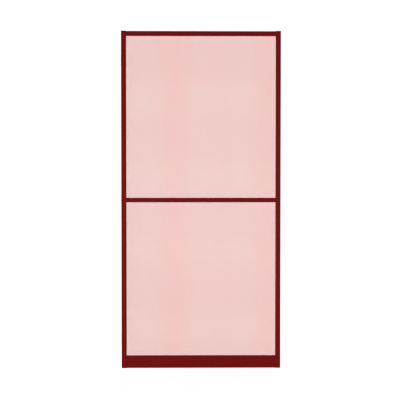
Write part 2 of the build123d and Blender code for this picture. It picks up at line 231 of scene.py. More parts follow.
@dataclass(frozen=True)
class CoatedYarn:
    """Glass yarn dipped in vinyl, woven and fused at its crossings."""

    name: str = "vinyl_coated_glass_yarn_woven"
    shade: str = "E97E66"
    pink_shade: str = "EE550A"
    deep_weft: str = "FDD6AF"
    thick_coat: str = "F3EAE5"
    warp_band_mm: float = 292.0
    warp_pink_mm: float = 327.0
    weft_band_mm: float = 478.0
    weft_light_mm: float = 554.0
    coat_mm: float = 6.0
    pink_span: tuple[float, float] = (-1.1, 2.0)
    light_span: tuple[float, float] = (-0.1, 1.0)

    def make(self) -> bpy.types.Material:
        """Build the finish: a soft salmon red yarn, in faint broad bands as a bolt of mesh has.

        Returns:
            The material.
        """
        material, shader, place = start_material(
            self.name, Metallic=0.0, IOR=1.5, Roughness=0.55, Specular_IOR_Level=0.15)
        tree = material.node_tree
        axes = add_node(tree, "ShaderNodeSeparateXYZ", inputs={0: place}).outputs
        # Broad bands as a bolt of coated mesh has: pinker ones across the width, every other one stronger
        across = self.band(tree, axes["X"], self.warp_band_mm, self.warp_pink_mm)
        alternate = self.band(tree, axes["X"], 2 * self.warp_band_mm, self.warp_pink_mm)
        both = add_node(tree, "ShaderNodeMath", {"operation": "ADD"}, {0: across, 1: alternate})
        pinker = add_node(tree, "ShaderNodeMapRange", inputs={
            "Value": both.outputs[0], 1: self.pink_span[0], 2: self.pink_span[1]})
        tint = add_node(tree, "ShaderNodeMix", {"data_type": "RGBA"}, {
            "Factor": pinker.outputs["Result"], 6: linear(self.shade), 7: linear(self.pink_shade)})
        # Up the height narrow light bands part broad deep ones
        upward = self.band(tree, axes["Z"], self.weft_band_mm, self.weft_light_mm)
        deeper = add_node(tree, "ShaderNodeMapRange", inputs={
            "Value": upward, 1: self.light_span[0], 2: self.light_span[1], 3: 1.0, 4: 0.0})
        rows = add_node(tree, "ShaderNodeMix", {"data_type": "RGBA", "blend_type": "MULTIPLY"}, {
            "Factor": deeper.outputs["Result"], 6: tint.outputs[2], 7: linear(self.deep_weft)})
        # The vinyl lies thicker, and so deeper in colour, on some threads than on others
        coat = add_node(tree, "ShaderNodeTexNoise", inputs={
            "Vector": place, "Scale": 1 / (self.coat_mm * MM), "Detail": 3.0})
        shaded = add_node(tree, "ShaderNodeMix", {"data_type": "RGBA", "blend_type": "MULTIPLY"}, {
            "Factor": coat.outputs["Fac"], 6: rows.outputs[2], 7: linear(self.thick_coat)})
        tree.links.new(shaded.outputs[2], shader.inputs["Base Color"])
        return material

    def band(
        self, tree: bpy.types.NodeTree, place: bpy.types.NodeSocket, period_mm: float, peak_mm: float
    ) -> bpy.types.NodeSocket:
        """Add a wave from -1 to 1 along one coordinate.

        Args:
            tree: the node tree that it joins.
            place: the coordinate.
            period_mm: the distance between peaks.
            peak_mm: where one of the peaks is.

        Returns:
            The wave's output.
        """
        turns = 2 * math.pi / (period_mm * MM)
        angle = add_node(tree, "ShaderNodeMath", {"operation": "MULTIPLY_ADD"}, {
            0: place, 1: turns, 2: -turns * peak_mm * MM})
        return add_node(tree, "ShaderNodeMath", {"operation": "COSINE"}, {0: angle.outputs[0]}).outputs[0]


@dataclass(frozen=True)
class CordRubber:
    """Soft black rubber, extruded with fine rings that grip the groove."""

    run: Run
    shade: str = "1D1A1A"
    dusty_shade: str = "2C2828"
    ring_mm: float = 1.6
    dust_mm: float = 9.0
    relief_mm: float = 0.25
    relief_share: float = 0.8

    def make(self) -> bpy.types.Material:
        """Build the finish: near-black and dull, with rings across the cord.

        Returns:
            The material.
        """
        name = f"extruded_rubber_cord_{self.run.value}"
        material, shader, place = start_material(
            name, Metallic=0.0, IOR=1.52, Roughness=0.62, Specular_IOR_Level=0.4)
        tree = material.node_tree
        along = add_node(tree, "ShaderNodeMapping", inputs={"Vector": place, "Scale": self.run.stretch})
        # At a scale of 1 the wave texture's rings are a tenth of pi apart
        rings = add_node(tree, "ShaderNodeTexWave", {
            "bands_direction": "Z" if self.run is Run.UPRIGHT else "X"}, {
            "Vector": along.outputs["Vector"], "Scale": math.pi / 10 / (self.ring_mm * MM)})
        dust = add_node(tree, "ShaderNodeTexNoise", inputs={
            "Vector": place, "Scale": 1 / (self.dust_mm * MM), "Detail": 3.0})
        tint = add_node(tree, "ShaderNodeMix", {"data_type": "RGBA"}, {
            "Factor": dust.outputs["Fac"], 6: linear(self.shade), 7: linear(self.dusty_shade)})
        bump = add_node(tree, "ShaderNodeBump", inputs={
            "Strength": self.relief_share, "Distance": self.relief_mm * MM, "Height": rings.outputs["Fac"]})
        tree.links.new(tint.outputs[2], shader.inputs["Base Color"])
        tree.links.new(bump.outputs["Normal"], shader.inputs["Normal"])
        return material


@dataclass(frozen=True)
class MouldedNylon:
    """Nylon injection moulded in a spark-eroded tool."""

    name: str = "nylon_injection_moulded"
    shade: str = "6A0D0D"
    worn_shade: str = "791716"
    spark_mm: float = 0.5
    rub_mm: float = 14.0
    relief_mm: float = 0.03
    relief_share: float = 0.5
    roughness: tuple[float, float] = (0.62, 0.5)

    def make(self) -> bpy.types.Material:
        """Build the finish: a duller red than the frame, with a fine even grain from the mould.

        Returns:
            The material.
        """
        material, shader, place = start_material(self.name, Metallic=0.0, IOR=1.53, Specular_IOR_Level=0.15)
        tree = material.node_tree
        spark = add_node(tree, "ShaderNodeTexNoise", inputs={
            "Vector": place, "Scale": 1 / (self.spark_mm * MM), "Detail": 2.0})
        rubbed = add_node(tree, "ShaderNodeTexNoise", inputs={
            "Vector": place, "Scale": 1 / (self.rub_mm * MM), "Detail": 3.0})
        tint = add_node(tree, "ShaderNodeMix", {"data_type": "RGBA"}, {
            "Factor": rubbed.outputs["Fac"], 6: linear(self.shade), 7: linear(self.worn_shade)})
        gloss = add_node(tree, "ShaderNodeMapRange", inputs={
            "Value": rubbed.outputs["Fac"], 3: self.roughness[0], 4: self.roughness[1]})
        bump = add_node(tree, "ShaderNodeBump", inputs={
            "Strength": self.relief_share, "Distance": self.relief_mm * MM, "Height": spark.outputs["Fac"]})
        tree.links.new(tint.outputs[2], shader.inputs["Base Color"])
        tree.links.new(gloss.outputs["Result"], shader.inputs["Roughness"])
        tree.links.new(bump.outputs["Normal"], shader.inputs["Normal"])
        return material


@dataclass(frozen=True)
class PileFibre:
    """Crimped polypropylene fibre, cut and brushed up."""

    name: str = "polypropylene_pile_cut"
    # The roots' colour is painted shade from deep in the pile
    root_painted_shade: str = "2B2A2B"
    tip_shade: str = "57555A"
    root_y_mm: float = -9.0
    tip_y_mm: float = -1.0
    tuft_mm: float = 1.5

    def make(self) -> bpy.types.Material:
        """Build the finish: charcoal at the roots, darkened as painted shade deep in the pile, and greyer at
        the tips, with a soft sheen.

        Returns:
            The material.
        """
        material, shader, place = start_material(
            self.name, Metallic=0.0, IOR=1.49, Roughness=0.75, Specular_IOR_Level=0.3,
            Sheen_Weight=0.35, Sheen_Roughness=0.4)
        tree = material.node_tree
        # The pile stands 8 mm off its backing, towards the wall
        axes = add_node(tree, "ShaderNodeSeparateXYZ", inputs={0: place})
        # Painted shade: the fibre darkens from its tips towards its roots, deep in the pile
        painted_shade_rise = add_node(tree, "ShaderNodeMapRange", inputs={
            "Value": axes.outputs["Y"], 1: self.root_y_mm * MM, 2: self.tip_y_mm * MM})
        tufts = add_node(tree, "ShaderNodeTexNoise", inputs={
            "Vector": place, "Scale": 1 / (self.tuft_mm * MM), "Detail": 2.0})
        share = add_node(tree, "ShaderNodeMath", {"operation": "MULTIPLY"}, {
            0: painted_shade_rise.outputs["Result"], 1: tufts.outputs["Fac"]})
        tint = add_node(tree, "ShaderNodeMix", {"data_type": "RGBA"}, {
            "Factor": share.outputs[0], 6: linear(self.root_painted_shade), 7: linear(self.tip_shade)})
        tree.links.new(tint.outputs[2], shader.inputs["Base Color"])
        return material


@dataclass(frozen=True)
class WovenBacking:
    """Polypropylene tape woven flat, which carries the pile."""

    name: str = "polypropylene_tape_woven"
    shade: str = "3A393B"
    dark_shade: str = "262527"
    weave_mm: float = 0.8
    relief_mm: float = 0.08
    relief_share: float = 0.4

    def make(self) -> bpy.types.Material:
        """Build the finish: dark grey with a small check of crossed threads.

        Returns:
            The material.
        """
        material, shader, place = start_material(
            self.name, Metallic=0.0, IOR=1.49, Roughness=0.7, Specular_IOR_Level=0.3)
        tree = material.node_tree
        check = add_node(tree, "ShaderNodeTexChecker", inputs={
            "Vector": place, "Scale": 1 / (self.weave_mm * MM),
            "Color1": linear(self.shade), "Color2": linear(self.dark_shade)})
        bump = add_node(tree, "ShaderNodeBump", inputs={
            "Strength": self.relief_share, "Distance": self.relief_mm * MM, "Height": check.outputs["Fac"]})
        tree.links.new(check.outputs["Color"], shader.inputs["Base Color"])
        tree.links.new(bump.outputs["Normal"], shader.inputs["Normal"])
        return material


@dataclass(frozen=True)
class BrushedStainless:
    """Stainless strip, pressed to shape and brushed up and down."""

    name: str = "stainless_steel_brushed"
    shade: str = "BDBAB5"
    dull_shade: str = "A5A29D"
    hair_mm: float = 0.25
    hair_squeeze: float = 0.025
    smudge_mm: float = 11.0
    relief_mm: float = 0.02
    relief_share: float = 0.25
    roughness: tuple[float, float] = (0.28, 0.44)

    def make(self) -> bpy.types.Material:
        """Build the finish: a soft grey metal with hairlines that run with the pin.

        Returns:
            The material.
        """
        material, shader, place = start_material(self.name, Metallic=1.0)
        tree = material.node_tree
        # Hairlines are a quarter of a millimetre apart and forty times as long
        drawn = add_node(tree, "ShaderNodeMapping", inputs={
            "Vector": place, "Scale": (1.0, 1.0, self.hair_squeeze)})
        hairs = add_node(tree, "ShaderNodeTexNoise", inputs={
            "Vector": drawn.outputs["Vector"], "Scale": 1 / (self.hair_mm * MM), "Detail": 3.0})
        smudges = add_node(tree, "ShaderNodeTexNoise", inputs={
            "Vector": place, "Scale": 1 / (self.smudge_mm * MM), "Detail": 3.0})
        tint = add_node(tree, "ShaderNodeMix", {"data_type": "RGBA"}, {
            "Factor": smudges.outputs["Fac"], 6: linear(self.shade), 7: linear(self.dull_shade)})
        gloss = add_node(tree, "ShaderNodeMapRange", inputs={
            "Value": hairs.outputs["Fac"], 3: self.roughness[0], 4: self.roughness[1]})
        bump = add_node(tree, "ShaderNodeBump", inputs={
            "Strength": self.relief_share, "Distance": self.relief_mm * MM, "Height": hairs.outputs["Fac"]})
        tree.links.new(tint.outputs[2], shader.inputs["Base Color"])
        tree.links.new(gloss.outputs["Result"], shader.inputs["Roughness"])
        tree.links.new(bump.outputs["Normal"], shader.inputs["Normal"])
        return material


@dataclass(frozen=True)
class GroundStainless:
    """Stainless rod, ground round and polished."""

    name: str = "stainless_steel_ground"
    shade: str = "C9C7C3"
    dark_shade: str = "B4B1AC"
    ring_mm: float = 0.3
    ring_squeeze: float = 0.05
    roughness: tuple[float, float] = (0.14, 0.26)

    def make(self) -> bpy.types.Material:
        """Build the finish: brighter than the plates, with fine rings round the rod.

        Returns:
            The material.
        """
        material, shader, place = start_material(self.name, Metallic=1.0)
        tree = material.node_tree
        flat = add_node(tree, "ShaderNodeMapping", inputs={
            "Vector": place, "Scale": (self.ring_squeeze, self.ring_squeeze, 1.0)})
        rings = add_node(tree, "ShaderNodeTexNoise", inputs={
            "Vector": flat.outputs["Vector"], "Scale": 1 / (self.ring_mm * MM), "Detail": 2.0})
        tint = add_node(tree, "ShaderNodeMix", {"data_type": "RGBA"}, {
            "Factor": rings.outputs["Fac"], 6: linear(self.shade), 7: linear(self.dark_shade)})
        gloss = add_node(tree, "ShaderNodeMapRange", inputs={
            "Value": rings.outputs["Fac"], 3: self.roughness[0], 4: self.roughness[1]})
        tree.links.new(tint.outputs[2], shader.inputs["Base Color"])
        tree.links.new(gloss.outputs["Result"], shader.inputs["Roughness"])
        return material


@dataclass(frozen=True)
class PaintedSteel:
    """Pressed steel screw head, sprayed in the frame's colour."""

    name: str = "painted_steel_sprayed"
    shade: str = "6B0A0A"
    chipped_shade: str = "8C8884"
    speck_mm: float = 0.9
    speck_span: tuple[float, float] = (0.7, 0.74)
    roughness: tuple[float, float] = (0.32, 0.42)

    def make(self) -> bpy.types.Material:
        """Build the finish: the frame's red, a little glossier, with specks rubbed to the metal.

        Returns:
            The material.
        """
        material, shader, place = start_material(self.name, Metallic=0.0, IOR=1.5, Specular_IOR_Level=0.15)
        tree = material.node_tree
        # Specks are under half a millimetre across and few: the noise seldom gets as high as their span
        chips = add_node(tree, "ShaderNodeTexNoise", inputs={
            "Vector": place, "Scale": 1 / (self.speck_mm * MM), "Detail": 3.0})
        share = add_node(tree, "ShaderNodeMapRange", inputs={
            "Value": chips.outputs["Fac"], 1: self.speck_span[0], 2: self.speck_span[1]})
        tint = add_node(tree, "ShaderNodeMix", {"data_type": "RGBA"}, {
            "Factor": share.outputs["Result"], 6: linear(self.shade), 7: linear(self.chipped_shade)})
        gloss = add_node(tree, "ShaderNodeMapRange", inputs={
            "Value": chips.outputs["Fac"], 3: self.roughness[0], 4: self.roughness[1]})
        tree.links.new(tint.outputs[2], shader.inputs["Base Color"])
        tree.links.new(gloss.outputs["Result"], shader.inputs["Roughness"])
        return material


# Shared tools for meshes


class Pick(Enum):
    """What a selection in edit mode holds."""

    POINTS = (True, False, False)
    FACES = (False, False, True)


def take(piece: bpy.types.Object) -> None:
    """Make a piece the only selected and active one."""
    bpy.ops.object.select_all(action="DESELECT")
    piece.select_set(True)
    bpy.context.view_layer.objects.active = piece


def pick(piece: bpy.types.Object, kind: Pick, wanted: Callable[[Vector], bool]) -> None:
    """Enter edit mode with only the wanted points or faces selected.

    Args:
        piece: the mesh object.
        kind: whether points or faces are tested.
        wanted: tells from a point's place or a face's centre whether it is selected.
    """
    take(piece)
    bpy.context.tool_settings.mesh_select_mode = kind.value
    bpy.ops.object.mode_set(mode="EDIT")
    bpy.ops.mesh.select_all(action="DESELECT")
    bpy.ops.object.mode_set(mode="OBJECT")
    parts = piece.data.vertices if kind is Pick.POINTS else piece.data.polygons
    for part in parts:
        part.select = wanted(part.co if kind is Pick.POINTS else part.center)
    bpy.ops.object.mode_set(mode="EDIT")


def leave_edit() -> None:
    """Go back to object mode."""
    bpy.ops.object.mode_set(mode="OBJECT")


def settle(piece: bpy.types.Object, name: str) -> bpy.types.Object:
    """Name a piece, put its place in its mesh and turn its faces outwards.

    Args:
        piece: the mesh object.
        name: its name, which its mesh gets too.

    Returns:
        The piece.
    """
    take(piece)
    piece.name = piece.data.name = name
    bpy.ops.object.transform_apply(location=True, rotation=True, scale=True)
    bpy.ops.object.mode_set(mode="EDIT")
    bpy.ops.mesh.select_all(action="SELECT")
    bpy.ops.mesh.remove_doubles(threshold=MERGE_WITHIN)
    bpy.ops.mesh.normals_make_consistent(inside=False)
    leave_edit()
    bpy.ops.object.shade_smooth_by_angle(angle=SMOOTH_ANGLE)
    return piece


def repeat(piece: bpy.types.Object, count: int, step: Vector) -> None:
    """Copy a mesh in a row, inside its own object.

    Args:
        piece: the mesh object.
        count: how many there are in the end.
        step: the way from one to the next.
    """
    take(piece)
    bpy.ops.object.modifier_add(type="ARRAY")
    row = piece.modifiers[-1]
    row.use_relative_offset = False
    row.use_constant_offset = True
    row.constant_offset_displace = step
    row.count = count
    bpy.ops.object.modifier_apply(modifier=row.name)


def join(pieces: Iterable[bpy.types.Object]) -> bpy.types.Object:
    """Join meshes to one object.

    Args:
        pieces: the mesh objects, of which the first one stays.

    Returns:
        The joined object.
    """
    first, *others = pieces
    take(first)
    for other in others:
        other.select_set(True)
    bpy.ops.object.join()
    return first


def copy_to(piece: bpy.types.Object, name: str, shift: Vector, turn: float = 0.0) -> bpy.types.Object:
    """Copy a piece with a mesh of its own, turned about the upright axis and then moved.

    Args:
        piece: the mesh object, modelled at the origin.
        name: the copy's name.
        shift: how far the copy is moved.
        turn: how far it is turned, in radians.

    Returns:
        The copy.
    """
    take(piece)
    bpy.ops.object.duplicate()
    copied = bpy.context.object
    copied.rotation_euler = (0.0, 0.0, turn)
    copied.location = shift
    bpy.ops.object.transform_apply(location=True, rotation=True, scale=True)
    copied.name = copied.data.name = name
    return copied


def draw_round(points: list[Vector], radius: float) -> bpy.types.Object:
    """Draw a round thread along points, one extrusion after another, and give it six sides.

    Args:
        points: where the thread goes.
        radius: half its thickness.

    Returns:
        The thread as a mesh object.
    """
    bpy.ops.object.select_all(action="DESELECT")
    bpy.ops.mesh.primitive_plane_add(size=radius, location=points[0])
    bpy.context.tool_settings.mesh_select_mode = Pick.POINTS.value
    bpy.ops.object.mode_set(mode="EDIT")
    bpy.ops.mesh.select_all(action="SELECT")
    bpy.ops.mesh.merge(type="CENTER")
    for before, after in zip(points, points[1:]):
        bpy.ops.mesh.extrude_region_move(TRANSFORM_OT_translate={"value": after - before})
    leave_edit()
    bpy.ops.object.transform_apply(location=True, rotation=True, scale=True)
    bpy.ops.object.convert(target="CURVE")
    thread = bpy.context.object
    thread.data.dimensions = "3D"
    thread.data.bevel_depth = radius
    thread.data.bevel_resolution = 1
    thread.data.use_fill_caps = True
    bpy.ops.object.convert(target="MESH")
    return bpy.context.object


# Sub-assemblies


@dataclass
class MeshPane:
    """One pane of insect mesh, its four edges tucked into the frame's grooves."""

    node: str
    rests_on: tuple[str, ...]
    pitch_mm: float = 1.5
    thread_mm: float = 0.4
    cut_mm: float = 0.45
    cross_mm: float = 0.06
    tucked_threads: int = 3

    def build(self) -> bpy.types.Object:
        """Weave the pane from one thread each way, copied at the mesh's pitch.

        Returns:
            The pane.
        """
        low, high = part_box(self.node)
        radius = self.thread_mm / 2 * MM
        flat_y = high.y - radius
        upright = self.threads(low, high, Run.UPRIGHT, flat_y + self.cross_mm * MM)
        level = self.threads(low, high, Run.LEVEL, flat_y)
        pane = settle(join([*upright, *level]), f"{self.node}_mesh")
        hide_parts(self.node)
        return pane

    def threads(self, low: Vector, high: Vector, run: Run, flat_y: float) -> list[bpy.types.Object]:
        """Draw the threads that run one way: over the opening, and along the two tucked edges.

        Args:
            low: the pane's lowest corner.
            high: its highest corner.
            run: the way that the threads run.
            flat_y: their centres' place across the leaf's thickness.

        Returns:
            The rows of threads.
        """
        radius = self.thread_mm / 2 * MM
        pitch = self.pitch_mm * MM
        cut = self.cut_mm * MM
        start, end = (low.z, high.z) if run is Run.UPRIGHT else (low.x, high.x)
        side, other = (low.x, high.x) if run is Run.UPRIGHT else (low.z, high.z)
        # The tucked threads lie along the pane's edges, and the others keep a thread's thickness away
        side, other = side + radius, other - radius
        start, end = start + radius, end - radius
        hidden_edges = (side, other)
        side, other = side + 2 * radius, other - 2 * radius
        count = round((other - side) / pitch)
        gap = (other - side) / count
        first = side + gap / 2

        def spot(along: float, across: float, depth: float) -> Vector:
            """Give a point from its place along and across the threads."""
            return Vector((across, depth, along) if run is Run.UPRIGHT else (along, depth, across))

        path = [
            spot(start, first, low.y + radius), spot(start, first, flat_y - cut),
            spot(start + cut, first, flat_y), spot(end - cut, first, flat_y),
            spot(end, first, flat_y - cut), spot(end, first, low.y + radius),
        ]
        row = draw_round(path, radius)
        repeat(row, count, spot(0.0, gap, 0.0))
        rows = [row]
        tucked = low.y + radius
        for edge in hidden_edges:
            hidden = draw_round([spot(start, edge, tucked), spot(end, edge, tucked)], radius)
            repeat(hidden, self.tucked_threads, Vector((0.0, pitch, 0.0)))
            rows.append(hidden)
        return rows


@dataclass
class PileStrip:
    """Brush strip on the leaf's back: a woven backing with a ridge each side, and a row of pile."""

    node: str
    run: Run
    base_mm: float = 1.0
    ridge_mm: float = 0.9
    channel_mm: float = 0.45
    soften_mm: float = 0.12
    rows: int = 3
    row_mm: float = 0.85
    tuft_mm: float = 0.9
    root_mm: float = 1.05
    tip_mm: float = 0.34
    lean_mm: float = 0.5
    sunk_mm: float = 0.5
    short_mm: float = 0.15
    block: int = 26
    seed: int = 7

    def build(self, backing: bpy.types.Material, fibre: bpy.types.Material) -> bpy.types.Object:
        """Model the backing and one block of pile, and copy the block along the strip.

        Args:
            backing: the backing's finish.
            fibre: the pile's finish.

        Returns:
            The strip.
        """
        tape = self.tape()
        tape.data.materials.append(backing)
        pile = self.pile()
        pile.data.materials.append(fibre)
        strip = settle(join([tape, pile]), f"{self.node}_pile")
        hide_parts(self.node)
        return strip

    def tape(self) -> bpy.types.Object:
        """Model the backing, with the channel that the pile stands in.

        Returns:
            The backing.
        """
        low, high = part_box(self.node)
        top = low.y + self.base_mm * MM
        size = Vector((high.x - low.x, self.base_mm * MM, high.z - low.z))
        bpy.ops.object.select_all(action="DESELECT")
        middle = (low + high) / 2
        bpy.ops.mesh.primitive_cube_add(size=1.0, location=(middle.x, low.y + size.y / 2, middle.z))
        tape = bpy.context.object
        tape.scale = size
        bpy.ops.object.transform_apply(location=True, rotation=True, scale=True)
        pick(tape, Pick.FACES, lambda centre: centre.y > top - NEAR)
        bpy.ops.mesh.inset(thickness=self.ridge_mm * MM)
        bpy.ops.mesh.extrude_region_move(TRANSFORM_OT_translate={"value": (0.0, -self.channel_mm * MM, 0.0)})
        leave_edit()
        bpy.ops.object.modifier_add(type="BEVEL")
        soft = tape.modifiers[-1]
        soft.width = self.soften_mm * MM
        soft.segments = 2
        bpy.ops.object.modifier_apply(modifier=soft.name)
        return tape

    def pile(self) -> bpy.types.Object:
        """Model one tuft, copy it to a block, let the tips lean, and copy the block along the strip.

        Returns:
            The pile.
        """
        low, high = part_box(self.node)
        upright = self.run is Run.UPRIGHT
        root_y = low.y + self.sunk_mm * MM
        tip_y = high.y - self.short_mm * MM
        length = (high.z - low.z) if upright else (high.x - low.x)
        across = ((low.x + high.x) if upright else (low.z + high.z)) / 2
        step = self.tuft_mm * MM
        blocks = int(length / (self.block * step))
        block_length = length / blocks
        step = block_length / self.block
        along = Vector((0, 0, 1)) if upright else Vector((1, 0, 0))
        sideways = Vector((1, 0, 0)) if upright else Vector((0, 0, 1))
        start = (low.z if upright else low.x) + step / 2
        first = across - (self.rows - 1) / 2 * self.row_mm * MM
        bpy.ops.object.select_all(action="DESELECT")
        bpy.ops.mesh.primitive_cone_add(
            vertices=3, radius1=self.root_mm / 2 * MM, radius2=self.tip_mm / 2 * MM, depth=tip_y - root_y,
            location=along * start + sideways * first + Vector((0, (root_y + tip_y) / 2, 0)),
            rotation=(-math.pi / 2, 0.0, 0.0))
        tuft = bpy.context.object
        bpy.ops.object.transform_apply(location=True, rotation=True, scale=True)
        repeat(tuft, self.rows, sideways * (self.row_mm * MM) + along * (step / self.rows / 2))
        repeat(tuft, self.block, along * step)
        pick(tuft, Pick.POINTS, lambda place: place.y > (root_y + tip_y) / 2)
        bpy.ops.transform.vertex_random(offset=self.lean_mm / 2 * MM, uniform=1.0, normal=0.0, seed=self.seed)
        leave_edit()
        repeat(tuft, blocks, along * block_length)
        return tuft


@dataclass
class FrameScrews:
    """Pan-head screws that go through the stiles into the rails' screw ports."""

    port_y_mm: float = -16.5
    head_mm: float = 4.6
    rise_mm: float = 1.1
    shank_mm: float = 1.85
    length_mm: float = 46.0
    dome_share: float = 0.85
    point_share: float = 0.9
    recess_mm: float = 4.2
    slot_mm: float = 0.95
    recess_span: tuple[float, float] = (0.25, 1.65)
    recess_taper: tuple[float, float, float] = (1.0, 0.55, 0.7)
    heights_mm: tuple[float, ...] = (1923.9, 879.0, -125.3, -164.0)

    def build(self) -> list[bpy.types.Object]:
        """Model one screw and copy it to each stile and height.

        Returns:
            The screws.
        """
        pattern = self.pattern()
        screws = []
        for stile, turn in (("hinge_stile", math.pi), ("closing_stile", 0.0)):
            low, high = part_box(stile)
            edge = low.x if turn else high.x
            for number, height in enumerate(self.heights_mm, 1):
                shift = Vector((edge, self.port_y_mm * MM, height * MM))
                screws.append(copy_to(pattern, f"{stile}_screw_{number}", shift, turn))
        bpy.data.objects.remove(pattern)
        return screws

    def pattern(self) -> bpy.types.Object:
        """Model a screw that points along +X, with the underside of its head at the origin.

        Returns:
            The screw.
        """
        bpy.ops.object.select_all(action="DESELECT")
        bpy.ops.mesh.primitive_cylinder_add(
            vertices=40, radius=self.head_mm * MM, depth=self.rise_mm * MM,
            location=(self.rise_mm / 2 * MM, 0.0, 0.0), rotation=(0.0, math.pi / 2, 0.0))
        screw = bpy.context.object
        bpy.ops.object.transform_apply(location=True, rotation=True, scale=True)
        pick(screw, Pick.FACES, lambda centre: centre.x > self.rise_mm * MM - NEAR)
        bpy.ops.mesh.bevel(offset=self.dome_share * self.rise_mm * MM, segments=6, affect="EDGES")
        leave_edit()
        pick(screw, Pick.FACES, lambda centre: centre.x < NEAR)
        bpy.ops.mesh.inset(thickness=(self.head_mm - self.shank_mm) * MM)
        bpy.ops.mesh.extrude_region_move(TRANSFORM_OT_translate={"value": (-self.length_mm * MM, 0.0, 0.0)})
        bpy.ops.mesh.bevel(offset=self.point_share * self.shank_mm * MM, segments=2, affect="EDGES")
        leave_edit()
        for turn in (0.0, math.pi / 2):
            self.cut_recess(screw, turn)
        return settle(screw, "frame_screw")

    def cut_recess(self, screw: bpy.types.Object, turn: float) -> None:
        """Cut one arm of the cross recess, narrower at its bottom.

        Args:
            screw: the screw.
            turn: the arm's turn about the screw's axis.
        """
        bottom, top = (share * self.rise_mm * MM for share in self.recess_span)
        bpy.ops.object.select_all(action="DESELECT")
        bpy.ops.mesh.primitive_cube_add(size=1.0, location=((bottom + top) / 2, 0.0, 0.0))
        cutter = bpy.context.object
        cutter.scale = (top - bottom, self.recess_mm * MM, self.slot_mm * MM)
        bpy.ops.object.transform_apply(location=True, rotation=True, scale=True)
        pick(cutter, Pick.FACES, lambda centre: centre.x < bottom + NEAR)
        bpy.ops.transform.resize(value=self.recess_taper)
        leave_edit()
        cutter.rotation_euler = (turn, 0.0, 0.0)
        bpy.ops.object.transform_apply(location=True, rotation=True, scale=True)
        take(screw)
        bpy.ops.object.modifier_add(type="BOOLEAN")
        cut = screw.modifiers[-1]
        cut.operation = "DIFFERENCE"
        cut.object = cutter
        bpy.ops.object.modifier_apply(modifier=cut.name)
        bpy.data.objects.remove(cutter)


@dataclass
class HingeRivets:
    """Blind rivets that hold the hinges' leaf plates on the stile's back."""

    head_mm: float = 3.8
    rise_mm: float = 0.95
    body_mm: float = 1.95
    grip_mm: float = 2.0
    spread_mm: float = 28.0
    dome_share: float = 0.8
    mandrel_mm: float = 1.25
    well_mm: float = 0.55
    step_mm: float = 0.3

    def build(self) -> list[bpy.types.Object]:
        """Model one rivet and copy it to both holes of each leaf plate.

        Returns:
            The rivets.
        """
        pattern = self.pattern()
        rivets = []
        for place in HINGE_PLACES:
            low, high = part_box(f"{place}_hinge_leaf_plate")
            centre = (low.z + high.z) / 2
            face_y = low.y + self.grip_mm * MM
            for end, side in (("low", -1), ("high", 1)):
                shift = Vector((0.0, face_y, centre + side * self.spread_mm * MM))
                rivets.append(copy_to(pattern, f"{place}_hinge_{end}_rivet", shift))
        bpy.data.objects.remove(pattern)
        return rivets

    def pattern(self) -> bpy.types.Object:
        """Model a rivet that points along +Y: a domed head, the sunk end of its mandrel, and its body.

        Returns:
            The rivet.
        """
        bpy.ops.object.select_all(action="DESELECT")
        bpy.ops.mesh.primitive_cylinder_add(
            vertices=40, radius=self.head_mm * MM, depth=self.rise_mm * MM,
            location=(0.0, self.rise_mm / 2 * MM, 0.0), rotation=(-math.pi / 2, 0.0, 0.0))
        rivet = bpy.context.object
        bpy.ops.object.transform_apply(location=True, rotation=True, scale=True)
        pick(rivet, Pick.FACES, lambda centre: centre.y > self.rise_mm * MM - NEAR)
        bpy.ops.mesh.bevel(offset=self.dome_share * self.rise_mm * MM, segments=5, affect="EDGES")
        leave_edit()
        top = max(corner.co.y for corner in rivet.data.vertices)
        pick(rivet, Pick.FACES, lambda centre: centre.y > top - NEAR)
        bpy.ops.mesh.inset(thickness=(self.head_mm - self.dome_share * self.rise_mm - self.mandrel_mm) * MM)
        bpy.ops.mesh.extrude_region_move(TRANSFORM_OT_translate={"value": (0.0, -self.well_mm * MM, 0.0)})
        bpy.ops.mesh.inset(thickness=self.step_mm * MM)
        bpy.ops.mesh.extrude_region_move(TRANSFORM_OT_translate={"value": (0.0, self.step_mm * MM, 0.0)})
        leave_edit()
        pick(rivet, Pick.FACES, lambda centre: centre.y < NEAR)
        bpy.ops.mesh.inset(thickness=(self.head_mm - self.body_mm) * MM)
        bpy.ops.mesh.extrude_region_move(TRANSFORM_OT_translate={"value": (0.0, -self.grip_mm * MM, 0.0)})
        leave_edit()
        return settle(rivet, "hinge_rivet")


@dataclass(frozen=True)
class SoftLight:
    """One area light, in metres and watts, that looks at the leaf's middle or level at the leaf."""

    name: str
    place: tuple[float, float, float]
    size: tuple[float, float]
    power: float
    looks_level: bool = False

    def hang(self, middle: Vector) -> None:
        """Hang the light, so that it doesn't show itself through the mesh.

        Args:
            middle: the leaf's middle.
        """
        place = Vector(self.place)
        target = Vector((middle.x, middle.y, place.z if self.looks_level else middle.z))
        bpy.ops.object.light_add(type="AREA", location=place)
        lamp = bpy.context.object
        lamp.name = self.name
        lamp.rotation_euler = (target - place).to_track_quat("-Z", "Y").to_euler()
        lamp.data.shape = "RECTANGLE"
        lamp.data.size, lamp.data.size_y = self.size
        lamp.data.energy = self.power
        lamp.visible_camera = False


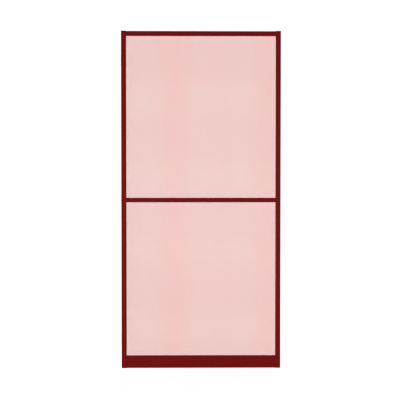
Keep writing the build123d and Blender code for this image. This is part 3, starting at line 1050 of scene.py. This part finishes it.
@dataclass
class Studio:
    """Plain pale floor, soft lights, white surroundings and the camera."""

    lights: tuple[SoftLight, ...] = (
        SoftLight("key_light", (-3.2, -5.4, 0.52), (3.2, 1.35), 110.0),
        SoftLight("fill_light", (4.4, -5.4, 0.52), (3.2, 1.35), 93.0),
        SoftLight("low_light", (0.488, -1.815, 0.08), (2.4, 0.4), 3.5, looks_level=True),
        SoftLight("back_light", (2.4, 5.6, 2.2), (3.0, 3.0), 110.0),
    )
    floor_size: float = 40.0
    floor_middle: tuple[float, float] = (0.5, 0.0)
    floor_gap_mm: float = 12.0
    floor_shade: str = "F4F3F1"
    ambient: float = 0.565
    floor_glow: float = 0.955
    floor_share: float = 0.07
    shadow_middle: float = 0.6
    shadow_squeeze: float = 0.45
    shadow_reach: tuple[float, float] = (0.5, 0.88)
    camera_mm: tuple[float, float, float] = (465.3, -3062.3, 923.3)
    filter_px: float = 1.3
    pitch_deg: float = 0.831
    yaw_deg: float = 0.357
    focal_px: float = 482.84
    image_px: float = 400.0
    sensor_mm: float = 36.0

    def build(self, low: Vector, high: Vector) -> None:
        """Set the stage round the leaf.

        Args:
            low: the leaf's lowest corner.
            high: its highest corner.
        """
        self.lay_floor(low.z - self.floor_gap_mm * MM)
        for light in self.lights:
            light.hang((low + high) / 2)
        self.surround()
        self.set_camera()

    def seen_rays(self, tree: bpy.types.NodeTree) -> bpy.types.NodeSocket:
        """Tell the rays that show the background: the camera's, mirrored ones and those through glass.

        Args:
            tree: the node tree that the nodes join.

        Returns:
            A socket that is 1 for those rays and 0 for the rest.
        """
        rays = add_node(tree, "ShaderNodeLightPath").outputs
        first = add_node(tree, "ShaderNodeMath", {"operation": "MAXIMUM"}, {
            0: rays["Is Camera Ray"], 1: rays["Is Glossy Ray"]})
        both = add_node(tree, "ShaderNodeMath", {"operation": "MAXIMUM"}, {
            0: first.outputs[0], 1: rays["Is Transmission Ray"]})
        return both.outputs[0]

    def lay_floor(self, height: float) -> None:
        """Lay the floor under the leaf, pale enough to melt into the background where no shadow falls.

        Args:
            height: the floor's height.
        """
        bpy.ops.object.select_all(action="DESELECT")
        bpy.ops.mesh.primitive_plane_add(size=self.floor_size, location=(*self.floor_middle, height))
        floor = bpy.context.object
        floor.name = "studio_floor"
        material = bpy.data.materials.new("floor_paint_rolled")
        material.use_nodes = True
        tree = material.node_tree
        tree.nodes.clear()
        # Rays that show the background see a floor that is mostly white of itself, with its shadows at a low
        # share, and that is plain white further from the leaf than its shadow reaches
        pale = linear(self.floor_shade)
        paint = add_node(tree, "ShaderNodeBsdfDiffuse", inputs={"Color": pale})
        thin_paint = add_node(tree, "ShaderNodeBsdfDiffuse", inputs={"Color": (*[self.floor_share] * 3, 1.0)})
        glow = add_node(tree, "ShaderNodeEmission", inputs={"Strength": self.floor_glow})
        close = add_node(tree, "ShaderNodeAddShader", inputs={0: thin_paint.outputs[0], 1: glow.outputs[0]})
        away = add_node(tree, "ShaderNodeEmission", inputs={"Strength": 1.0})
        spot = add_node(tree, "ShaderNodeTexCoord").outputs["Object"]
        from_middle = add_node(tree, "ShaderNodeMapping", inputs={
            "Vector": spot, "Location": (0.0, self.shadow_middle, 0.0),
            "Scale": (self.shadow_squeeze, 1.0, 1.0)})
        distance = add_node(tree, "ShaderNodeVectorMath", {"operation": "LENGTH"}, {
            0: from_middle.outputs["Vector"]}).outputs["Value"]
        leaving = add_node(tree, "ShaderNodeMapRange", {"interpolation_type": "SMOOTHSTEP"}, {
            "Value": distance, 1: self.shadow_reach[0], 2: self.shadow_reach[1]})
        shown = add_node(tree, "ShaderNodeMixShader", inputs={
            0: leaving.outputs["Result"], 1: close.outputs[0], 2: away.outputs[0]})
        either = add_node(tree, "ShaderNodeMixShader", inputs={
            0: self.seen_rays(tree), 1: paint.outputs[0], 2: shown.outputs[0]})
        add_node(tree, "ShaderNodeOutputMaterial", inputs={"Surface": either.outputs[0]})
        floor.data.materials.append(material)
        floor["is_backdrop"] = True

    def surround(self) -> None:
        """Give even light from all round, and plain white to the rays that show the background."""
        world = bpy.data.worlds.new("studio_world")
        bpy.context.scene.world = world
        world.use_nodes = True
        tree = world.node_tree
        tree.nodes.clear()
        strength = add_node(tree, "ShaderNodeMapRange", inputs={
            "Value": self.seen_rays(tree), 3: self.ambient, 4: 1.0})
        sky = add_node(tree, "ShaderNodeBackground", inputs={
            "Color": (1.0, 1.0, 1.0, 1.0), "Strength": strength.outputs["Result"]})
        add_node(tree, "ShaderNodeOutputWorld", inputs={"Surface": sky.outputs[0]})

    def set_camera(self) -> None:
        """Put the camera where the photograph was taken from."""
        data = bpy.data.cameras.new("camera")
        data.sensor_width = self.sensor_mm
        data.lens = data.sensor_width * self.focal_px / self.image_px
        camera = bpy.data.objects.new("camera", data)
        bpy.context.scene.collection.objects.link(camera)
        camera.location = Vector(self.camera_mm) * MM
        camera.rotation_euler = (math.radians(90 - self.pitch_deg), 0.0, math.radians(-self.yaw_deg))
        bpy.context.scene.camera = camera
        # A little narrower than the renderer's own 1.5 px, for crisp edges on the frame's members
        bpy.context.scene.cycles.filter_width = self.filter_px
        # Threads finer than a pixel make noisy guides, which would leave grain on parts of the panes
        bpy.context.scene.cycles.denoising_input_passes = "RGB"


# Carried-over nodes


def dress_nodes(
    nodes: dict[str, bpy.types.Object], wanted: Iterable[str], finish: bpy.types.Material
) -> None:
    """Give carried-over nodes a finish.

    Args:
        nodes: the frame's nodes by name.
        wanted: the names of those that get the finish.
        finish: the material.
    """
    for name in wanted:
        for slot in nodes[name].material_slots:
            slot.material = finish
        log.info("dressed %s in %s", name, finish.name)


def dress_frame(nodes: dict[str, bpy.types.Object]) -> None:
    """Dress every node that stays in view.

    Args:
        nodes: the frame's nodes by name.
    """
    frame = ("hinge_stile", "closing_stile", "top_rail", "middle_rail", "bottom_rail")
    dress_nodes(nodes, frame, PowderCoat().make())
    dress_nodes(nodes, [name for name in nodes if name.endswith("_cap")], MouldedNylon().make())
    sides = {Run.UPRIGHT: ("hinge_side", "closing_side"), Run.LEVEL: ("top", "bottom")}
    for run, names in sides.items():
        splines = [f"{pane}_{side}_spline" for pane in ("upper", "lower") for side in names]
        dress_nodes(nodes, splines, CordRubber(run).make())
    plates = [f"{place}_hinge_{side}_plate" for place in HINGE_PLACES for side in ("wall", "leaf")]
    dress_nodes(nodes, plates, BrushedStainless().make())
    dress_nodes(nodes, [f"{place}_hinge_pin" for place in HINGE_PLACES], GroundStainless().make())


def add_piece(piece: bpy.types.Object, slot: str, finish: bpy.types.Material | None = None) -> None:
    """Hang a new piece on the leaf and dress it.

    Args:
        piece: the mesh object.
        slot: the record's slot for the piece, which is only written to the log.
        finish: its material, where it has none yet.
    """
    if finish is not None:
        piece.data.materials.clear()
        piece.data.materials.append(finish)
    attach(piece, LEAF)
    log.info("added %s, %d faces, in slot %s", piece.name, len(piece.data.polygons), slot)


def main() -> None:
    """Dress the frame, add the pieces, and set the stage."""
    logging.basicConfig(level=logging.INFO, format="%(name)s: %(message)s")
    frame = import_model()
    cad_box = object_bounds()
    dress_frame(frame["nodes"])
    yarn = CoatedYarn().make()
    panes = [
        MeshPane("upper_screen", ("top_rail", "middle_rail", "hinge_stile", "closing_stile")),
        MeshPane("lower_screen", ("middle_rail", "bottom_rail", "hinge_stile", "closing_stile")),
    ]
    for pane in panes:
        add_piece(pane.build(), "mesh", yarn)
    backing, fibre = WovenBacking().make(), PileFibre().make()
    strips = [
        PileStrip("hinge_side_brush", Run.UPRIGHT, seed=3),
        PileStrip("closing_side_brush", Run.UPRIGHT, seed=5),
        PileStrip("top_brush", Run.LEVEL, seed=8),
        PileStrip("bottom_brush", Run.LEVEL, seed=13),
    ]
    for strip in strips:
        add_piece(strip.build(backing, fibre), "pile")
    paint, rod = PaintedSteel().make(), GroundStainless("stainless_steel_rivet_pressed").make()
    for screw in FrameScrews().build():
        add_piece(screw, "screw", paint)
    for rivet in HingeRivets().build():
        add_piece(rivet, "pin", rod)
    bpy.context.scene.view_settings.view_transform = "Standard"
    Studio().build(*cad_box)


if __name__ == "__main__":
    main()
